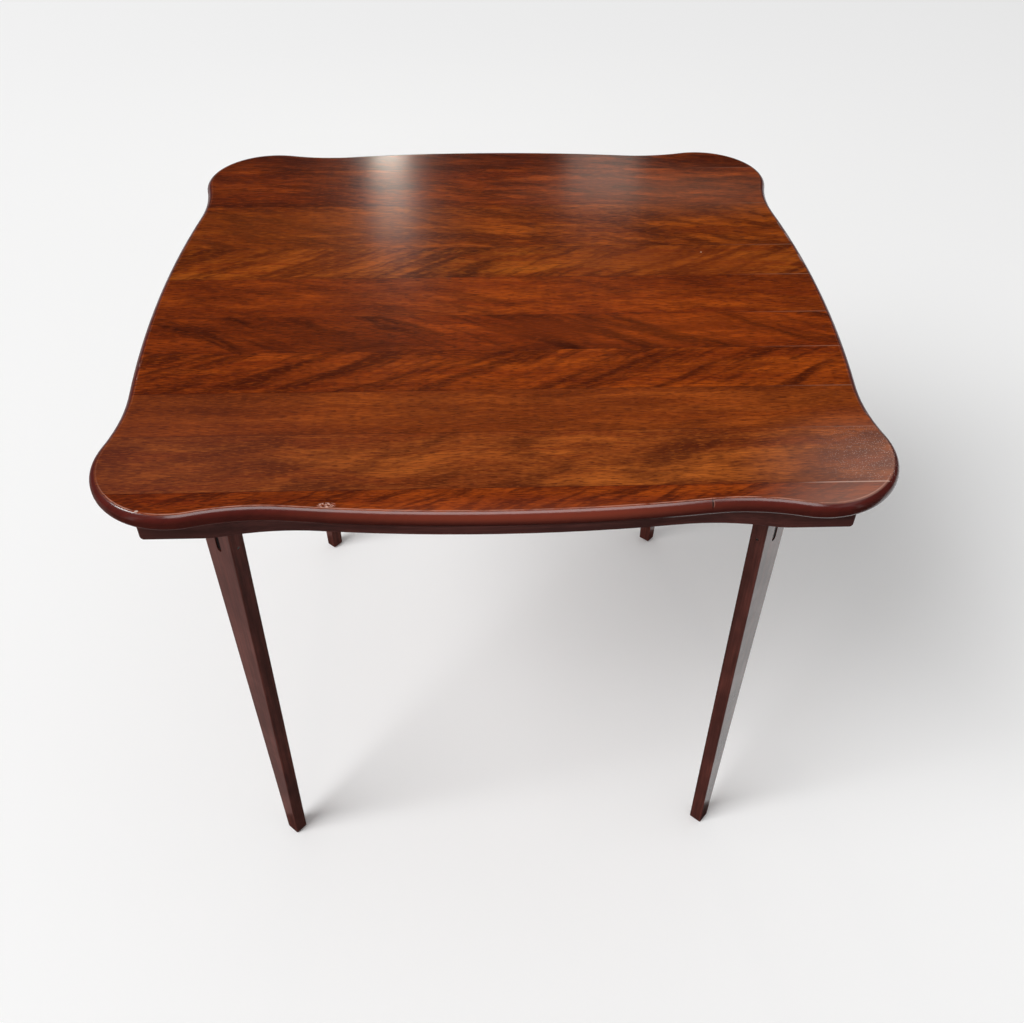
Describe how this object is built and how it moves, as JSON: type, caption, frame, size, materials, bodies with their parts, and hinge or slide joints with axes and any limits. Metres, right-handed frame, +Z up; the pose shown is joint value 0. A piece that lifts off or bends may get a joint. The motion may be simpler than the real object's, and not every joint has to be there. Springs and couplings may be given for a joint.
{
  "type": "folding card table",
  "caption": "Square folding wooden table with a scalloped top, four tapered legs set across the corners that fold inward, and a sliding bolt lock in each leg.",
  "frame": {"origin": "on the floor, under the middle of the top", "axes": "+Z up, the front of the table faces -Y, the boards of the top run along X"},
  "size_m": [0.813, 0.8128, 0.72],
  "materials": {
    "top_wood": "glossy lacquer over red-brown stain",
    "rail_wood": "satin lacquer over dark red stain",
    "leg_wood": "satin lacquer over dark red stain",
    "block_wood": "bare sawn wood",
    "zinc_plated_steel": "zinc plated",
    "bright_steel": "bright drawn",
    "blackened_steel": "oil blackened"
  },
  "bodies": {
    "top": {"top_board_1": "top_wood", "top_board_2": "top_wood", "top_board_3": "top_wood", "top_board_4": "top_wood", "top_board_5": "top_wood", "top_board_6": "top_wood", "top_board_7": "top_wood", "top_board_8": "top_wood", "top_board_9": "top_wood", "top_board_10": "top_wood", "front_rail": "rail_wood", "back_rail": "rail_wood", "left_rail": "rail_wood", "right_rail": "rail_wood", "leg_bracket_rear_right": "zinc_plated_steel", "pivot_pin_rear_right": "bright_steel", "corner_block_rear_right": "block_wood", "leg_bracket_rear_left": "zinc_plated_steel", "pivot_pin_rear_left": "bright_steel", "corner_block_rear_left": "block_wood", "leg_bracket_front_left": "zinc_plated_steel", "pivot_pin_front_left": "bright_steel", "corner_block_front_left": "block_wood", "leg_bracket_front_right": "zinc_plated_steel", "pivot_pin_front_right": "bright_steel", "corner_block_front_right": "block_wood", "rail_screws": "zinc_plated_steel", "block_screws": "zinc_plated_steel", "bracket_screws": "zinc_plated_steel"},
    "leg_body_rear_right": {"leg_rear_right": "leg_wood", "cross_pin_rear_right": "bright_steel", "bolt_spring_rear_right": "bright_steel", "pin_washers_rear_right": "bright_steel"},
    "bolt_body_rear_right": {"lock_bolt_rear_right": "blackened_steel"},
    "leg_body_rear_left": {"leg_rear_left": "leg_wood", "cross_pin_rear_left": "bright_steel", "bolt_spring_rear_left": "bright_steel", "pin_washers_rear_left": "bright_steel"},
    "bolt_body_rear_left": {"lock_bolt_rear_left": "blackened_steel"},
    "leg_body_front_left": {"leg_front_left": "leg_wood", "cross_pin_front_left": "bright_steel", "bolt_spring_front_left": "bright_steel", "pin_washers_front_left": "bright_steel"},
    "bolt_body_front_left": {"lock_bolt_front_left": "blackened_steel"},
    "leg_body_front_right": {"leg_front_right": "leg_wood", "cross_pin_front_right": "bright_steel", "bolt_spring_front_right": "bright_steel", "pin_washers_front_right": "bright_steel"},
    "bolt_body_front_right": {"lock_bolt_front_right": "blackened_steel"}
  },
  "joints": [
    {"name": "fold_rear_right", "type": "hinge", "parent": "top", "child": "leg_body_rear_right", "pos_m": [0.29841, 0.29841, 0.69], "axis": [-0.7431, 0.6691, 0], "range_deg": [0, 90]},
    {"name": "bolt_slide_rear_right", "type": "slide", "parent": "leg_body_rear_right", "child": "bolt_body_rear_right", "axis": [0, 0, 1], "range_m": [0, 0.008], "stiffness_N_per_m": 300, "springref_m": 0.011, "deforming": ["bolt_spring_rear_right"]},
    {"name": "fold_rear_left", "type": "hinge", "parent": "top", "child": "leg_body_rear_left", "pos_m": [-0.29841, 0.29841, 0.69], "axis": [-0.6691, -0.7431, 0], "range_deg": [0, 87.2]},
    {"name": "bolt_slide_rear_left", "type": "slide", "parent": "leg_body_rear_left", "child": "bolt_body_rear_left", "axis": [0, 0, 1], "range_m": [0, 0.008], "stiffness_N_per_m": 300, "springref_m": 0.011, "deforming": ["bolt_spring_rear_left"]},
    {"name": "fold_front_left", "type": "hinge", "parent": "top", "child": "leg_body_front_left", "pos_m": [-0.29841, -0.29841, 0.69], "axis": [0.7431, -0.6691, 0], "range_deg": [0, 90]},
    {"name": "bolt_slide_front_left", "type": "slide", "parent": "leg_body_front_left", "child": "bolt_body_front_left", "axis": [0, 0, 1], "range_m": [0, 0.008], "stiffness_N_per_m": 300, "springref_m": 0.011, "deforming": ["bolt_spring_front_left"]},
    {"name": "fold_front_right", "type": "hinge", "parent": "top", "child": "leg_body_front_right", "pos_m": [0.29841, -0.29841, 0.69], "axis": [0.6691, 0.7431, 0], "range_deg": [0, 87.2]},
    {"name": "bolt_slide_front_right", "type": "slide", "parent": "leg_body_front_right", "child": "bolt_body_front_right", "axis": [0, 0, 1], "range_m": [0, 0.008], "stiffness_N_per_m": 300, "springref_m": 0.011, "deforming": ["bolt_spring_front_right"]}
  ]
}
